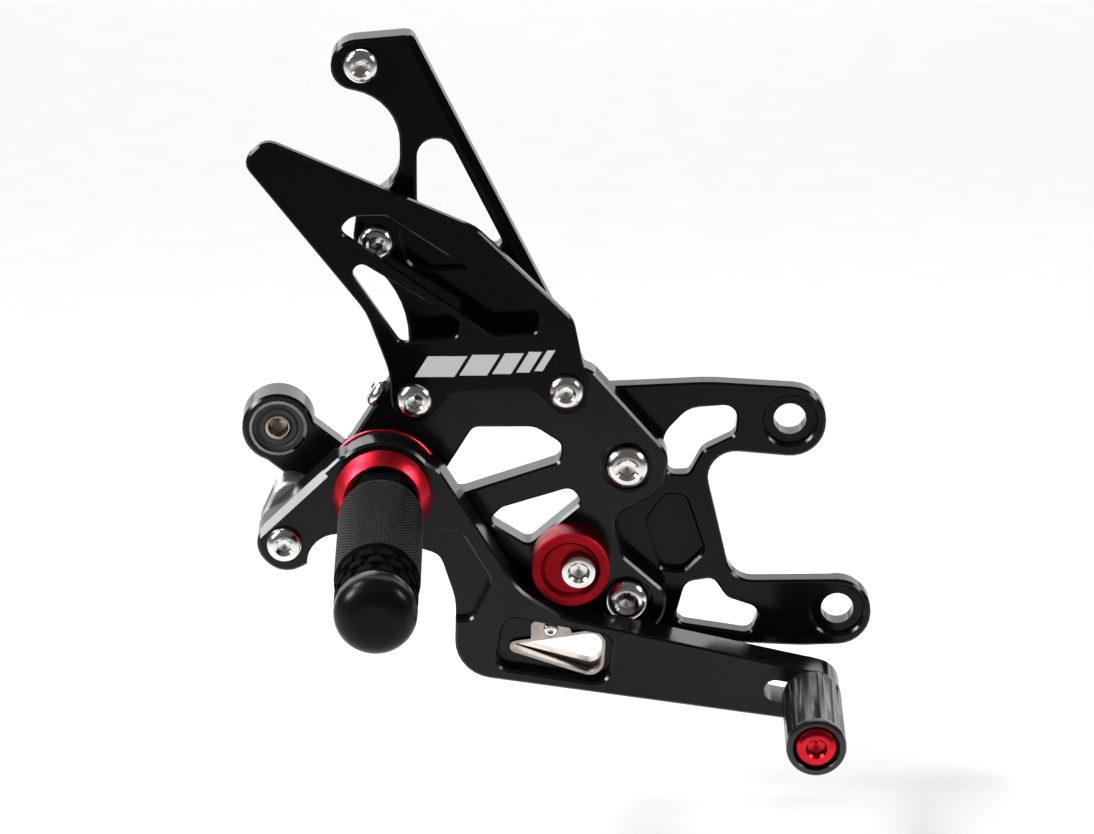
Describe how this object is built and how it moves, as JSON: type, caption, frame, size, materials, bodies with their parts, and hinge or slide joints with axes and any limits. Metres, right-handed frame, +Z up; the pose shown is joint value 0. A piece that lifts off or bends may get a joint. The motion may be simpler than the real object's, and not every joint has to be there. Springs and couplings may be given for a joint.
{
  "type": "rear-set foot peg unit",
  "caption": "Right-hand rear-set foot peg for a sport motorcycle: knurled peg and brake lever with toe peg on a bolt-on hanger, frame bracket, heel guard and cylinder stay.",
  "frame": {"origin": "on the frame face of the bracket, halfway between the two hanger bolts", "axes": "+X to the front of the motorcycle, +Y in towards the frame (the peg points along -Y), +Z up"},
  "size_m": [0.1857, 0.1395, 0.2057],
  "materials": {
    "black_anodised": "gloss black anodised, machined with broken edges",
    "red_anodised": "bright red anodised, turned",
    "stainless": "polished stainless",
    "zinc_steel": "zinc plated",
    "black_plastic": "satin black moulded plastic",
    "rubber": "matt black rubber"
  },
  "bodies": {
    "base": {"frame_bracket": "black_anodised", "hanger_plate": "black_anodised", "heel_guard": "black_anodised", "master_cylinder_stay": "black_anodised", "exhaust_hanger_arm": "black_anodised", "exhaust_bush": "rubber", "exhaust_bush_insert": "stainless", "exhaust_bush_circlip": "stainless", "hanger_bolt_upper": "stainless", "hanger_bolt_lower": "stainless", "guard_bolt_rear": "stainless", "guard_bolt_front": "stainless", "stay_bolt_upper": "stainless", "stay_bolt_lower": "stainless", "spring_anchor_screw": "stainless", "arm_bolt": "stainless", "peg_shaft": "stainless", "peg_shaft_washer": "stainless", "lever_spacer_ring": "red_anodised", "peg_collar": "red_anodised", "peg_barrel": "black_anodised", "peg_end_cap": "black_plastic", "peg_end_cap_stud": "stainless", "stop_bobbin_bolt": "stainless"},
    "lever": {"brake_lever": "black_anodised", "lever_bearing_rear": "stainless", "lever_bearing_front": "stainless", "lever_bearing_shim": "stainless", "lever_pocket_liner": "stainless", "lever_pocket_screw": "stainless", "clevis_bolt": "stainless", "clevis_nut": "zinc_steel"},
    "push_rod_clevis": {"clevis": "zinc_steel"},
    "toe_peg": {"toe_peg_sleeve": "black_plastic", "toe_peg_screw": "red_anodised", "toe_peg_nut": "zinc_steel"},
    "lever_stop": {"stop_bobbin": "red_anodised"}
  },
  "joints": [
    {"name": "brake_lever_pivot", "type": "hinge", "parent": "base", "child": "lever", "pos_m": [-0.0715, -0.0245, 0.018], "axis": [0, 1, 0], "range_deg": [0, 10], "stiffness_Nm_per_rad": 1.5, "springref_deg": -8.59},
    {"name": "clevis_swing", "type": "hinge", "parent": "lever", "child": "push_rod_clevis", "pos_m": [-0.1002, -0.01335, 0.003], "axis": [0, 1, 0], "range_deg": [-35, 8]},
    {"name": "toe_peg_slide", "type": "slide", "parent": "lever", "child": "toe_peg", "axis": [0.9806, 0, -0.196], "range_m": [-0.01, 0]},
    {"name": "stop_bobbin_turn", "type": "hinge", "parent": "base", "child": "lever_stop", "pos_m": [-0.0142, -0.0208, -0.0076], "axis": [0, 1, 0], "range_deg": [0, 90]}
  ]
}
